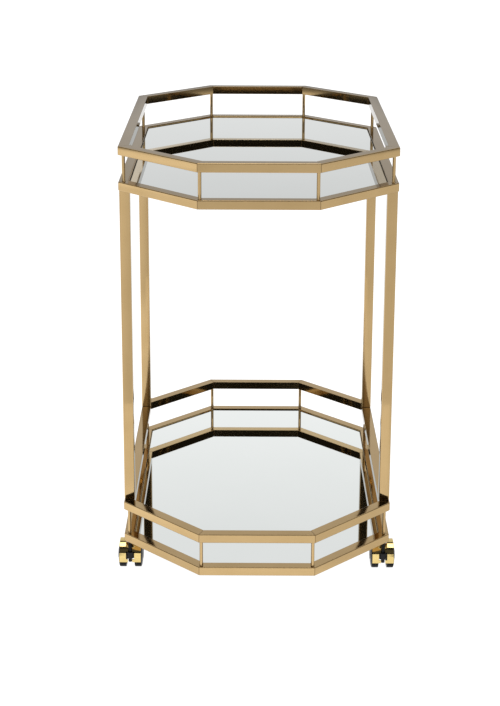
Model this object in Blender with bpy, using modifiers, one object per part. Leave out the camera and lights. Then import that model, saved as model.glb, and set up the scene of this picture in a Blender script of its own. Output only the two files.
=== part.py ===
"""Octagonal two-tier bar cart on four hooded twin-wheel casters.

Each tier is a shelf frame of rectangular tube that holds a mirror, with a gallery rail of the same outline
standing on eight round posts. Four square legs stand on the lower tier's gallery rail and carry the upper
tier. Every caster swivels about its stem, and its two wheels turn separately on one axle.

Units are metres. The long side runs along Y, +Z is up, and the floor is at Z = 0 below the centre.
"""
import math

import bmesh
import bpy
from mathutils import Euler, Matrix, Vector

# The octagon that all four tube rings share
FRAME_WIDTH = 0.490
FRAME_LENGTH = 0.796
END_LENGTH = 0.205
SIDE_LENGTH = 0.520

# Tubes, posts and legs
RAIL_WIDTH = 0.019
RAIL_HEIGHT = 0.016
TUBE_WALL = 0.0012
POST_RADIUS = 0.003
GALLERY_GAP = 0.047
LEG_SIZE = 0.019
LEG_LENGTH = 0.588
LEG_CENTRE_FROM_CORNER = 0.024
DRAIN_RADIUS = 0.0025

# The shelf stack, upwards from the underside of its frame
LEDGE_BASE = 0.002
LEDGE_THICKNESS = 0.002
LEDGE_WIDTH = 0.012
BOARD_THICKNESS = 0.005
MIRROR_THICKNESS = 0.004
SHELF_CLEARANCE = 0.0005

# The gap that touching pieces keep
FIT_GAP = 0.0003

# Casters
CASTER_HEIGHT = 0.062
WHEEL_RADIUS = 0.025
WHEEL_GAP = 0.0156
TREAD_WIDTH = 0.012
DOME_HEIGHT = 0.0037
TRAIL = 0.022
AXLE_RADIUS = 0.003
BORE_CLEARANCE = 0.0003
HOOD_RADIUS = 0.029
HOOD_WALL = 0.0015
HOOD_WIDTH = 0.0397
HOOD_BACK_ANGLE = math.radians(35)
HOOD_FRONT_ANGLE = math.radians(191)
STEM_RADIUS = 0.0035
STEM_COLLAR_RADIUS = 0.0055
STEM_COLLAR_HEIGHT = 0.0028
STEM_REACH = 0.012
BOSS_RADIUS = 0.0072
BOSS_TOP = 0.039
BOSS_WAIST = 0.031
BOSS_STEP = 0.0262
BOSS_STEP_RADIUS = 0.0052
BOSS_FOOT = 0.0188
BOSS_FOOT_RADIUS = 0.0034
CORE_WIDTH = 0.014
CORE_HUB_RADIUS = 0.010
SOCKET_RADIUS = 0.0065
SOCKET_FLANGE_RADIUS = 0.0080
SOCKET_FLANGE_THICKNESS = 0.0012
WEB_FRONT_ANGLE = math.radians(172)
WEB_BELLY_START = math.radians(200)
WEB_BELLY_END = math.radians(340)
SLOT_CLEARANCE = 0.0005
RIM_CHAMFER = 0.0008
RIM_WALL = 0.004
DISH_DEPTH = 0.007
HUB_RADIUS = 0.0062
DOME_ANGLES = (0, 25, 50, 72, 90)

# Facets of round pieces
WHEEL_FACETS = 28
ROUND_FACETS = 16
POST_FACETS = 12
HOOD_POINTS = 20
WEB_POINTS = 15
BELLY_POINTS = 8
SHARP_ANGLE = math.radians(30)

# Heights of the ring undersides
TIER_HEIGHT = RAIL_HEIGHT + GALLERY_GAP + RAIL_HEIGHT
LOWER_FRAME_Z = CASTER_HEIGHT
LOWER_RAIL_Z = LOWER_FRAME_Z + RAIL_HEIGHT + GALLERY_GAP
UPPER_FRAME_Z = LOWER_FRAME_Z + TIER_HEIGHT + LEG_LENGTH
UPPER_RAIL_Z = UPPER_FRAME_Z + RAIL_HEIGHT + GALLERY_GAP

for old_object in list(bpy.data.objects):
    bpy.data.objects.remove(old_object, do_unlink=True)

parts = bpy.data.collections.new("octagonal_bar_cart")
cutters = bpy.data.collections.new("cutters")
for collection in (parts, cutters):
    bpy.context.scene.collection.children.link(collection)


def make_material(name, colour, roughness, metallic):
    material = bpy.data.materials.new(name)
    material.use_nodes = True
    shader = material.node_tree.nodes["Principled BSDF"]
    shader.inputs["Base Color"].default_value = (*colour, 1.0)
    shader.inputs["Roughness"].default_value = roughness
    shader.inputs["Metallic"].default_value = metallic
    material.diffuse_color = (*colour, 1.0)
    return material


GOLD = make_material("brushed_champagne_gold", (0.62, 0.45, 0.23), 0.25, 1.0)
BRASS = make_material("bright_brass_plate", (0.83, 0.60, 0.24), 0.12, 1.0)
SILVERED = make_material("silvered_glass", (0.86, 0.88, 0.88), 0.02, 1.0)
BOARD = make_material("black_backing_board", (0.02, 0.02, 0.02), 0.7, 0.0)
STEEL = make_material("zinc_plated_steel", (0.60, 0.60, 0.58), 0.3, 1.0)
BLACKENED = make_material("blackened_steel", (0.02, 0.02, 0.02), 0.35, 1.0)
NYLON = make_material("black_nylon", (0.012, 0.012, 0.013), 0.4, 0.0)
TYRE = make_material("black_gloss_wheel", (0.008, 0.008, 0.009), 0.15, 0.0)


# ---------------------------------------------------------------- building tools

def add_object(name, mesh, material, parent=None, location=(0, 0, 0), rotation=(0, 0, 0)):
    """A named piece of the cart."""
    piece = bpy.data.objects.new(name, mesh)
    parts.objects.link(piece)
    piece.parent = parent
    piece.location = location
    piece.rotation_euler = rotation
    mesh.materials.clear()
    mesh.materials.append(material)
    return piece


def add_empty(name, location, parent=None):
    empty = bpy.data.objects.new(name, None)
    empty.empty_display_size = 0.03
    parts.objects.link(empty)
    empty.parent = parent
    empty.location = location
    return empty


def evaluated_mesh(drawn):
    """The mesh of a drawn object after its modifiers, with loose seams welded; the object is removed."""
    bpy.context.view_layer.update()
    graph = bpy.context.evaluated_depsgraph_get()
    mesh = bpy.data.meshes.new_from_object(drawn.evaluated_get(graph))
    bpy.data.objects.remove(drawn, do_unlink=True)
    shape = bmesh.new()
    shape.from_mesh(mesh)
    bmesh.ops.remove_doubles(shape, verts=shape.verts, dist=1e-6)
    bmesh.ops.recalc_face_normals(shape, faces=shape.faces)
    shape.to_mesh(mesh)
    shape.free()
    return mesh


def plate_mesh(outlines, thickness):
    """A flat plate centred on Z = 0. The first outline is its edge, and the others are openings."""
    curve = bpy.data.curves.new("outline", "CURVE")
    curve.dimensions = "2D"
    curve.fill_mode = "BOTH"
    curve.extrude = thickness / 2
    for outline in outlines:
        spline = curve.splines.new("POLY")
        spline.points.add(len(outline) - 1)
        for point, (x, y) in zip(spline.points, outline):
            point.co = (x, y, 0, 1)
        spline.use_cyclic_u = True
    drawn = bpy.data.objects.new("outline", curve)
    cutters.objects.link(drawn)
    mesh = evaluated_mesh(drawn)
    bpy.data.curves.remove(curve)
    return mesh


def turned_mesh(profile, facets):
    """A solid turned about Z. The profile's (radius, height) points run down its outer side."""
    mesh = bpy.data.meshes.new("profile")
    shape = bmesh.new()
    corners = [shape.verts.new((radius, 0, height)) for radius, height in profile]
    for start, end in zip(corners, corners[1:]):
        shape.edges.new((start, end))
    if profile[0][0] > 0:
        shape.edges.new((corners[-1], corners[0]))
    shape.to_mesh(mesh)
    shape.free()
    drawn = bpy.data.objects.new("profile", mesh)
    cutters.objects.link(drawn)
    screw = drawn.modifiers.new("turn", "SCREW")
    screw.steps = facets
    screw.render_steps = facets
    screw.use_merge_vertices = True
    screw.merge_threshold = 1e-5
    return evaluated_mesh(drawn)


def cylinder_mesh(radius, length, facets):
    """A plain cylinder along Z, centred on the origin."""
    mesh = bpy.data.meshes.new("cylinder")
    shape = bmesh.new()
    bmesh.ops.create_cone(shape, cap_ends=True, segments=facets, radius1=radius, radius2=radius, depth=length)
    shape.to_mesh(mesh)
    shape.free()
    return mesh


def box_mesh(size):
    """A plain box centred on the origin."""
    mesh = bpy.data.meshes.new("box")
    shape = bmesh.new()
    bmesh.ops.create_cube(shape, size=1.0)
    bmesh.ops.scale(shape, vec=size, verts=shape.verts)
    shape.to_mesh(mesh)
    shape.free()
    return mesh


def add_cutter(name, mesh, location, rotation=(0, 0, 0)):
    cutter = bpy.data.objects.new(name, mesh)
    cutters.objects.link(cutter)
    cutter.location = location
    cutter.rotation_euler = rotation
    cutter.hide_render = True
    cutter.display_type = "WIRE"
    return cutter


def combine(piece, other, operation="DIFFERENCE"):
    """Cuts another object from a piece, or joins it on, and keeps the modifier on the piece."""
    boolean = piece.modifiers.new(other.name, "BOOLEAN")
    boolean.operation = operation
    boolean.object = other


def shaped_mesh(mesh, changes):
    """The mesh after each (operation, other mesh, location, rotation) change, ready to be shared."""
    draft = bpy.data.objects.new("draft", mesh)
    cutters.objects.link(draft)
    tools = []
    for operation, tool_mesh, location, rotation in changes:
        tool = add_cutter("draft_tool", tool_mesh, location, rotation)
        combine(draft, tool, operation)
        tools.append(tool)
    shaped = evaluated_mesh(draft)
    for tool in tools:
        bpy.data.objects.remove(tool, do_unlink=True)
    return shaped


def smooth(mesh):
    """Shades round surfaces smooth and leaves the true edges sharp."""
    mesh.shade_smooth()
    mesh.set_sharp_from_angle(angle=SHARP_ANGLE)
    return mesh


# ---------------------------------------------------------------- outlines

def octagon(inset):
    """The frame's outline, moved inward by an inset, anticlockwise from the front left corner."""
    half_width, half_length = FRAME_WIDTH / 2, FRAME_LENGTH / 2
    run, rise = half_width - END_LENGTH / 2, half_length - SIDE_LENGTH / 2
    diagonal = math.hypot(run, rise)
    normal_x, normal_y = rise / diagonal, run / diagonal
    reach = normal_x * END_LENGTH / 2 + normal_y * half_length - inset
    end_y = half_length - inset
    end_x = (reach - normal_y * end_y) / normal_x
    side_x = half_width - inset
    side_y = (reach - normal_x * side_x) / normal_y
    return [(-end_x, -end_y), (end_x, -end_y), (side_x, -side_y), (side_x, side_y),
            (end_x, end_y), (-end_x, end_y), (-side_x, side_y), (-side_x, -side_y)]


def square(side):
    half = side / 2
    return [(-half, -half), (half, -half), (half, half), (-half, half)]


def arc(radius, start, end, points):
    """Points on an arc about the origin."""
    step = (end - start) / (points - 1)
    return [(radius * math.cos(start + i * step), radius * math.sin(start + i * step)) for i in range(points)]


POST_CORNERS = octagon(RAIL_WIDTH / 2)
CASTER_CORNERS = {
    "front_left": POST_CORNERS[7],
    "front_right": POST_CORNERS[2],
    "rear_right": POST_CORNERS[3],
    "rear_left": POST_CORNERS[6],
}


# ---------------------------------------------------------------- frame and shelves

def add_tube_ring(name, base_z, openings):
    """An octagonal ring of hollow tube. Openings are (x, y, radius) holes through its underside."""
    centre_z = base_z + RAIL_HEIGHT / 2
    ring = add_object(name, plate_mesh([octagon(0), octagon(RAIL_WIDTH)], RAIL_HEIGHT), GOLD, cart,
                      (0, 0, centre_z))
    hollow = plate_mesh([octagon(TUBE_WALL), octagon(RAIL_WIDTH - TUBE_WALL)], RAIL_HEIGHT - 2 * TUBE_WALL)
    combine(ring, add_cutter(name + "_hollow", hollow, (0, 0, centre_z)))
    for number, (x, y, radius) in enumerate(openings, 1):
        hole = cylinder_mesh(radius, 3 * TUBE_WALL, ROUND_FACETS)
        combine(ring, add_cutter(f"{name}_opening_{number}", hole, (x, y, base_z)))
    return ring


def add_shelf(tier, frame_z):
    """The ledge, backing board and mirror inside a shelf frame."""
    edge = RAIL_WIDTH + FIT_GAP
    ledge_top = frame_z + LEDGE_BASE + LEDGE_THICKNESS
    ledge = plate_mesh([octagon(edge), octagon(edge + LEDGE_WIDTH)], LEDGE_THICKNESS)
    add_object(tier + "_shelf_ledge", ledge, GOLD, cart, (0, 0, ledge_top - LEDGE_THICKNESS / 2))
    board_top = ledge_top + FIT_GAP + BOARD_THICKNESS
    board = plate_mesh([octagon(edge + SHELF_CLEARANCE)], BOARD_THICKNESS)
    add_object(tier + "_backing_board", board, BOARD, cart, (0, 0, board_top - BOARD_THICKNESS / 2))
    mirror_top = board_top + FIT_GAP + MIRROR_THICKNESS
    mirror = plate_mesh([octagon(edge + SHELF_CLEARANCE)], MIRROR_THICKNESS)
    add_object(tier + "_mirror", mirror, SILVERED, cart, (0, 0, mirror_top - MIRROR_THICKNESS / 2))


def add_posts(tier, frame_z):
    """Eight round posts between a shelf frame and its gallery rail."""
    length = GALLERY_GAP - 2 * FIT_GAP
    mesh = smooth(cylinder_mesh(POST_RADIUS, length, POST_FACETS))
    for number, (x, y) in enumerate(POST_CORNERS, 1):
        middle = frame_z + RAIL_HEIGHT + GALLERY_GAP / 2
        add_object(f"{tier}_gallery_post_{number}", mesh, GOLD, cart, (x, y, middle))


def add_tier(tier, frame_z, rail_z, frame_openings):
    end_y = (FRAME_LENGTH - RAIL_WIDTH) / 2
    drains = [(0, -end_y, DRAIN_RADIUS), (0, end_y, DRAIN_RADIUS)]
    add_tube_ring(tier + "_shelf_frame", frame_z, drains + frame_openings)
    add_tube_ring(tier + "_gallery_rail", rail_z, drains)
    add_shelf(tier, frame_z)
    add_posts(tier, frame_z)


def add_legs():
    """Four square tube legs, flush with the sides of the frame, just inside its side corners."""
    mesh = plate_mesh([square(LEG_SIZE), square(LEG_SIZE - 2 * TUBE_WALL)], LEG_LENGTH - 2 * FIT_GAP)
    x = (FRAME_WIDTH - LEG_SIZE) / 2
    y = SIDE_LENGTH / 2 - LEG_CENTRE_FROM_CORNER
    z = UPPER_FRAME_Z - LEG_LENGTH / 2
    for corner, side_sign, end_sign in (("front_left", -1, -1), ("front_right", 1, -1),
                                        ("rear_right", 1, 1), ("rear_left", -1, 1)):
        add_object(corner + "_leg", mesh, GOLD, cart, (side_sign * x, end_sign * y, z))


# ---------------------------------------------------------------- casters
# A caster's own origin is on the floor below its stem, and its wheels trail towards +Y.

UPRIGHT = (0, 0, 0)
FACING_RIGHT = (math.pi / 2, 0, math.pi / 2)
FACING_LEFT = (math.pi / 2, 0, -math.pi / 2)
AXLE_CENTRE = (0, TRAIL, WHEEL_RADIUS)


def stood_up(mesh):
    """Turns a flat plate into the plane of the wheels, with its origin on the axle."""
    mesh.transform(Matrix.LocRotScale(Vector(AXLE_CENTRE), Euler(FACING_RIGHT), None))
    return mesh


def socket_mesh():
    """A flanged sleeve, pressed up into the frame tube, that takes the stem."""
    flange_top = CASTER_HEIGHT - FIT_GAP
    flange_base = flange_top - SOCKET_FLANGE_THICKNESS
    top = CASTER_HEIGHT + RAIL_HEIGHT - TUBE_WALL - FIT_GAP
    bore = STEM_RADIUS + BORE_CLEARANCE
    return smooth(turned_mesh([(SOCKET_RADIUS, top), (SOCKET_RADIUS, flange_top),
                               (SOCKET_FLANGE_RADIUS, flange_top), (SOCKET_FLANGE_RADIUS, flange_base),
                               (bore, flange_base), (bore, top)], ROUND_FACETS))


def stem_mesh():
    """The swivel stem, with a collar under the socket's flange."""
    collar_top = CASTER_HEIGHT - 2 * FIT_GAP - SOCKET_FLANGE_THICKNESS
    collar_base = collar_top - STEM_COLLAR_HEIGHT
    foot = BOSS_STEP + 2 * FIT_GAP
    return smooth(turned_mesh([(0, CASTER_HEIGHT + STEM_REACH), (STEM_RADIUS, CASTER_HEIGHT + STEM_REACH),
                               (STEM_RADIUS, collar_top), (STEM_COLLAR_RADIUS, collar_top),
                               (STEM_COLLAR_RADIUS, collar_base), (STEM_RADIUS, collar_base),
                               (STEM_RADIUS, foot), (0, foot)], ROUND_FACETS))


def core_mesh():
    """The core between the wheels: a web under the hood, and a stepped boss round the stem."""
    rim = arc(HOOD_RADIUS - HOOD_WALL - FIT_GAP, HOOD_BACK_ANGLE, WEB_FRONT_ANGLE, WEB_POINTS)
    belly = arc(CORE_HUB_RADIUS, WEB_BELLY_START, WEB_BELLY_END, BELLY_POINTS)
    web = stood_up(plate_mesh([rim + belly], CORE_WIDTH))
    boss = turned_mesh([(0, BOSS_TOP), (BOSS_RADIUS, BOSS_TOP), (BOSS_RADIUS, BOSS_WAIST),
                        (BOSS_STEP_RADIUS, BOSS_STEP), (0, BOSS_STEP)], ROUND_FACETS)
    foot_height = BOSS_TOP - BOSS_FOOT - FIT_GAP
    foot = cylinder_mesh(BOSS_FOOT_RADIUS, foot_height, ROUND_FACETS)
    bore_base = BOSS_STEP + FIT_GAP
    bore_length = CASTER_HEIGHT - bore_base
    bore = cylinder_mesh(STEM_RADIUS + BORE_CLEARANCE, bore_length, ROUND_FACETS)
    axle_hole = cylinder_mesh(AXLE_RADIUS + BORE_CLEARANCE, 2 * CORE_WIDTH, ROUND_FACETS)
    return smooth(shaped_mesh(web, [
        ("UNION", boss, UPRIGHT, UPRIGHT),
        ("UNION", foot, (0, 0, BOSS_FOOT + foot_height / 2), UPRIGHT),
        ("DIFFERENCE", bore, (0, 0, bore_base + bore_length / 2), UPRIGHT),
        ("DIFFERENCE", axle_hole, AXLE_CENTRE, FACING_RIGHT),
    ]))


def hood_mesh():
    """The curved guard over both wheels, slotted for the stem and with a wider window for the boss."""
    outer = arc(HOOD_RADIUS, HOOD_BACK_ANGLE, HOOD_FRONT_ANGLE, HOOD_POINTS)
    inner = arc(HOOD_RADIUS - HOOD_WALL, HOOD_FRONT_ANGLE, HOOD_BACK_ANGLE, HOOD_POINTS)
    shell = stood_up(plate_mesh([outer + inner], HOOD_WIDTH))
    slot_back = STEM_RADIUS + SLOT_CLEARANCE
    slot = box_mesh((2 * slot_back, HOOD_RADIUS, CASTER_HEIGHT))
    window_height = BOSS_TOP - BOSS_STEP + 2 * SLOT_CLEARANCE
    window = box_mesh((2 * (BOSS_RADIUS + SLOT_CLEARANCE), HOOD_RADIUS, window_height))
    return smooth(shaped_mesh(shell, [
        ("DIFFERENCE", slot, (0, slot_back - HOOD_RADIUS / 2, CASTER_HEIGHT / 2), UPRIGHT),
        ("DIFFERENCE", window, (0, -HOOD_RADIUS / 2, (BOSS_TOP + BOSS_STEP) / 2), UPRIGHT),
    ]))


def axle_mesh():
    """The axle pin, centred between the wheels."""
    length = WHEEL_GAP + 2 * (TREAD_WIDTH - FIT_GAP)
    return smooth(cylinder_mesh(AXLE_RADIUS, length, ROUND_FACETS))


def wheel_mesh():
    """A wheel with its inner face at Z = 0: domed outside, and dished round a blind hub inside."""
    dome = []
    for angle in DOME_ANGLES:
        tilt = math.radians(angle)
        dome.append((WHEEL_RADIUS * math.sin(tilt), TREAD_WIDTH + DOME_HEIGHT * math.cos(tilt)))
    bore = AXLE_RADIUS + BORE_CLEARANCE
    inside = [(WHEEL_RADIUS, RIM_CHAMFER), (WHEEL_RADIUS - RIM_CHAMFER, 0), (WHEEL_RADIUS - RIM_WALL, 0),
              (WHEEL_RADIUS - RIM_WALL, DISH_DEPTH), (HUB_RADIUS, DISH_DEPTH), (HUB_RADIUS, 0),
              (bore, 0), (bore, TREAD_WIDTH), (0, TREAD_WIDTH)]
    return smooth(turned_mesh(dome + inside, WHEEL_FACETS))


def add_casters():
    """A socket and stem fixed to the cart at each side corner, and a swivelling caster below them."""
    socket, stem, core, hood = socket_mesh(), stem_mesh(), core_mesh(), hood_mesh()
    axle, wheel = axle_mesh(), wheel_mesh()
    for corner, (x, y) in CASTER_CORNERS.items():
        add_object(corner + "_caster_socket", socket, STEEL, cart, (x, y, 0))
        add_object(corner + "_caster_stem", stem, BLACKENED, cart, (x, y, 0))
        swivel = add_empty(corner + "_swivel", (x, y, 0), cart)
        add_object(corner + "_caster_core", core, NYLON, swivel)
        add_object(corner + "_caster_hood", hood, BRASS, swivel)
        axle_line = add_empty(corner + "_axle_line", AXLE_CENTRE, swivel)
        add_object(corner + "_caster_axle", axle, STEEL, axle_line, rotation=FACING_RIGHT)
        for side, sign, facing in (("left", -1, FACING_LEFT), ("right", 1, FACING_RIGHT)):
            add_object(f"{corner}_caster_{side}_wheel", wheel, TYRE, axle_line,
                       (sign * WHEEL_GAP / 2, 0, 0), facing)


cart = add_empty("cart", (0, 0, 0))
socket_openings = [(x, y, SOCKET_RADIUS + FIT_GAP) for x, y in CASTER_CORNERS.values()]
add_tier("lower", LOWER_FRAME_Z, LOWER_RAIL_Z, socket_openings)
add_tier("upper", UPPER_FRAME_Z, UPPER_RAIL_Z, [])
add_legs()
add_casters()
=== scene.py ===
"""The looks of an octagonal bar cart: gold tubes, mirrored shelves and hooded casters in a white studio."""
import math

import bmesh
import bpy
from mathutils import Euler, Matrix, Vector


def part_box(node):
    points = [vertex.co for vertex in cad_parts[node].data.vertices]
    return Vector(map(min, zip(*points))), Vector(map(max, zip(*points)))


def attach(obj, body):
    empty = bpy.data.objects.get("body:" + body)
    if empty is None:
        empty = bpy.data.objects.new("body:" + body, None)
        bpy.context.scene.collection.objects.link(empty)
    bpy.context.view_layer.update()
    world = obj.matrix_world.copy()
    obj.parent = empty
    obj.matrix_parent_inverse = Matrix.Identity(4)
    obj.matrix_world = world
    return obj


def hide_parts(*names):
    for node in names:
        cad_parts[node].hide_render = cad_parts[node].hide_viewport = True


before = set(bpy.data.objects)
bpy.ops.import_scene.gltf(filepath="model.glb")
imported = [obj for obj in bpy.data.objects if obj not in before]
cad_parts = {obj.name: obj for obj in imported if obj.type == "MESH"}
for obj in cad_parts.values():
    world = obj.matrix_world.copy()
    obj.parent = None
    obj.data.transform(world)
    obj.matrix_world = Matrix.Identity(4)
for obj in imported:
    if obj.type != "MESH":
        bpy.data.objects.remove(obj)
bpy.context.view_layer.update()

TIERS = ("upper", "lower")
CORNERS = ("front_left", "front_right", "rear_right", "rear_left")
SIDES = 8
BRUSH_MAP = "brush"

# ---------------------------------------------------------------- sizes, in metres, read from the frame


def centre_of(node):
    low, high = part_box(node)
    return (low + high) / 2


def size_of(node):
    low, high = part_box(node)
    return high - low


LEG_SIZE = size_of("front_left_leg").x
RAIL_HALF_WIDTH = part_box("upper_gallery_rail")[1].x - centre_of("upper_gallery_post_3").x
POST_RADIUS = size_of("upper_gallery_post_1").x / 2
POST_POINTS = [centre_of(f"upper_gallery_post_{number}").xy for number in range(1, SIDES + 1)]
WHEEL_NODE = "front_left_caster_right_wheel"
WHEEL_RADIUS = size_of(WHEEL_NODE).z / 2
WHEEL_THICKNESS = size_of(WHEEL_NODE).x
WHEEL_GAP = 2 * (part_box(WHEEL_NODE)[0].x - centre_of("front_left_caster_stem").x)
TRAIL = centre_of(WHEEL_NODE).y - centre_of("front_left_caster_stem").y
HOOD_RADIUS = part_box("front_left_caster_hood")[1].z - WHEEL_RADIUS
HOOD_WIDTH = size_of("front_left_caster_hood").x
STEM_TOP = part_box("front_left_caster_stem")[1].z
FRAME_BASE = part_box("lower_shelf_frame")[0].z
AXLE_POINT = Vector((0, TRAIL, WHEEL_RADIUS))

TUBE_CORNER_RADIUS = 0.0016
INNER_CORNER_RADIUS = 0.0006
SEAM_DEPTH = 0.00030
SEAM_WIDTH = 0.00050
SEAM_GAP = 0.00003
SHARP_ANGLE = 38
# Each length of tube starts elsewhere in the pattern of polishing lines, so that no two look the same.
RING_BRUSH_SHIFT = 0.31
LEG_BRUSH_SHIFT = 2.7

# ---------------------------------------------------------------- camera

CAMERA_PLACE = (-0.0133, -2.914, 1.348)
CAMERA_PITCH = math.radians(15.18)
CAMERA_YAW = math.radians(0.03)
CAMERA_ROLL = math.radians(0.24)
CAMERA_LENS = 79.6
CAMERA_SENSOR = 36.0
CAMERA_SHIFT = -0.15


def add_camera():
    data = bpy.data.cameras.new("camera")
    data.lens = CAMERA_LENS
    data.sensor_width = CAMERA_SENSOR
    data.shift_y = CAMERA_SHIFT
    camera = bpy.data.objects.new("camera", data)
    bpy.context.scene.collection.objects.link(camera)
    tilt = Matrix.Rotation(math.pi / 2 - CAMERA_PITCH, 4, "X") @ Matrix.Rotation(CAMERA_ROLL, 4, "Z")
    camera.matrix_world = Matrix.Translation(CAMERA_PLACE) @ Matrix.Rotation(CAMERA_YAW, 4, "Z") @ tilt
    bpy.context.scene.camera = camera


# ---------------------------------------------------------------- node helpers


class Nodes:
    """Short ways to add shader nodes to one tree."""

    def __init__(self, tree):
        self.tree = tree

    def add(self, kind, **settings):
        node = self.tree.nodes.new(kind)
        for key, value in settings.items():
            setattr(node, key, value)
        return node

    def link(self, output, socket):
        self.tree.links.new(output, socket)

    def feed(self, value, socket):
        """Sets a socket to a number, or links an output to it."""
        if hasattr(value, "is_linked"):
            self.link(value, socket)
        else:
            socket.default_value = value

    def split(self, vector):
        """The X, Y and Z of a vector."""
        node = self.add("ShaderNodeSeparateXYZ")
        self.link(vector, node.inputs[0])
        return node.outputs

    def noise(self, vector, scale, detail=3.0, roughness=0.5):
        node = self.add("ShaderNodeTexNoise")
        node.inputs["Scale"].default_value = scale
        node.inputs["Detail"].default_value = detail
        node.inputs["Roughness"].default_value = roughness
        self.link(vector, node.inputs["Vector"])
        return node.outputs["Fac"]

    def stretched(self, vector, scale):
        """Coordinates multiplied by a scale along each axis, for a pattern that is longer one way."""
        node = self.add("ShaderNodeMapping")
        node.inputs["Scale"].default_value = scale
        self.link(vector, node.inputs["Vector"])
        return node.outputs["Vector"]

    def spread(self, value, from_low, from_high, to_low, to_high, smooth=False):
        """Maps one range of a value to another, and stops at its ends."""
        node = self.add("ShaderNodeMapRange")
        node.interpolation_type = "SMOOTHSTEP" if smooth else "LINEAR"
        limits = (from_low, from_high, to_low, to_high)
        for name, limit in zip(("From Min", "From Max", "To Min", "To Max"), limits):
            node.inputs[name].default_value = limit
        self.link(value, node.inputs["Value"])
        return node.outputs["Result"]

    def mix(self, factor, first, second):
        node = self.add("ShaderNodeMix", data_type="RGBA")
        self.feed(factor, node.inputs["Factor"])
        for value, socket in ((first, node.inputs["A"]), (second, node.inputs["B"])):
            self.feed(value, socket)
        return node.outputs["Result"]

    def greys(self, value, stops):
        """A smooth run of grey levels over a value from 0 to 1."""
        node = self.add("ShaderNodeValToRGB")
        ramp = node.color_ramp
        while len(ramp.elements) < len(stops):
            ramp.elements.new(0.5)
        for element, (position, grey) in zip(ramp.elements, stops):
            element.position = position
            element.color = (grey, grey, grey, 1.0)
        self.link(value, node.inputs[0])
        return node.outputs["Color"]

    def maths(self, operation, *values):
        node = self.add("ShaderNodeMath", operation=operation)
        for value, socket in zip(values, node.inputs):
            self.feed(value, socket)
        return node.outputs[0]

    def bump(self, height, strength, distance):
        node = self.add("ShaderNodeBump")
        node.inputs["Strength"].default_value = strength
        node.inputs["Distance"].default_value = distance
        self.link(height, node.inputs["Height"])
        return node.outputs["Normal"]


def rgb(red, green, blue):
    return (red, green, blue, 1.0)


def start_material(name, **sockets):
    """A material with a Principled shader whose plain sockets are set by name, and its node helper."""
    material = bpy.data.materials.new(name)
    material.use_nodes = True
    shader = material.node_tree.nodes["Principled BSDF"]
    for key, value in sockets.items():
        shader.inputs[key.replace("_", " ")].default_value = value
    return material, shader, Nodes(material.node_tree)


def plain_coordinates(nodes):
    return nodes.add("ShaderNodeTexCoord").outputs["Object"]


# ---------------------------------------------------------------- materials

GOLD_LIGHT = rgb(0.515, 0.362, 0.180)
GOLD_DEEP = rgb(0.465, 0.322, 0.152)
GOLD_GRAZING_TINT = rgb(0.67, 0.70, 0.74)


def champagne_gold(name, smoothest, roughest, brush_map=None):
    """Champagne gold plate with fine polishing lines, which run along a tube that has a brush map."""
    material, shader, nodes = start_material(name, Metallic=1.0, Specular_Tint=GOLD_GRAZING_TINT)
    place = plain_coordinates(nodes)
    if brush_map:
        lengthwise = nodes.add("ShaderNodeUVMap", uv_map=brush_map).outputs["UV"]
        lines = nodes.stretched(lengthwise, (14.0, 2600.0, 1.0))
        bands = nodes.stretched(lengthwise, (5.0, 420.0, 1.0))
    else:
        lines = nodes.stretched(place, (900.0, 900.0, 900.0))
        bands = nodes.stretched(place, (90.0, 90.0, 90.0))
    streaks = nodes.noise(lines, 1.0, detail=4.0)
    wide = nodes.noise(bands, 1.0, detail=2.0)
    clouds = nodes.noise(place, 16.0)
    tone = nodes.maths("MULTIPLY_ADD", streaks, 0.5, nodes.maths("MULTIPLY", clouds, 0.5))
    nodes.link(nodes.mix(nodes.spread(tone, 0.35, 0.65, 0.0, 1.0), GOLD_DEEP, GOLD_LIGHT),
               shader.inputs["Base Color"])
    blurred = nodes.maths("MULTIPLY_ADD", wide, 0.4, nodes.maths("MULTIPLY", streaks, 0.6))
    nodes.link(nodes.spread(blurred, 0.3, 0.7, smoothest, roughest), shader.inputs["Roughness"])
    return material


def seam_gold():
    """The dull, darker line where two tubes meet."""
    material, shader, nodes = start_material("polished_weld_seam", Metallic=1.0)
    grain = nodes.noise(plain_coordinates(nodes), 900.0)
    nodes.link(nodes.mix(grain, rgb(0.16, 0.095, 0.04), rgb(0.30, 0.19, 0.085)),
               shader.inputs["Base Color"])
    nodes.link(nodes.spread(grain, 0.3, 0.7, 0.35, 0.55), shader.inputs["Roughness"])
    return material


def polished_brass():
    """The bright plate of the caster hoods, with faint handling marks."""
    material, shader, nodes = start_material("polished_brass_plate", Metallic=1.0)
    place = plain_coordinates(nodes)
    clouds = nodes.noise(place, 45.0)
    marks = nodes.noise(nodes.stretched(place, (300.0, 2200.0, 2200.0)), 1.0, detail=5.0)
    nodes.link(nodes.mix(clouds, rgb(0.70, 0.53, 0.205), rgb(0.76, 0.58, 0.25)),
               shader.inputs["Base Color"])
    nodes.link(nodes.spread(marks, 0.35, 0.75, 0.07, 0.16), shader.inputs["Roughness"])
    nodes.link(nodes.bump(marks, 0.04, 0.0001), shader.inputs["Normal"])
    return material


def silvered_glass():
    """A clean mirror with a faint green cast and the slightest haze."""
    material, shader, nodes = start_material("silvered_glass", Metallic=1.0)
    haze = nodes.noise(plain_coordinates(nodes), 9.0, detail=5.0)
    nodes.link(nodes.mix(haze, rgb(0.84, 0.875, 0.86), rgb(0.87, 0.895, 0.885)),
               shader.inputs["Base Color"])
    nodes.link(nodes.spread(haze, 0.45, 0.75, 0.008, 0.028), shader.inputs["Roughness"])
    return material


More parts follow.
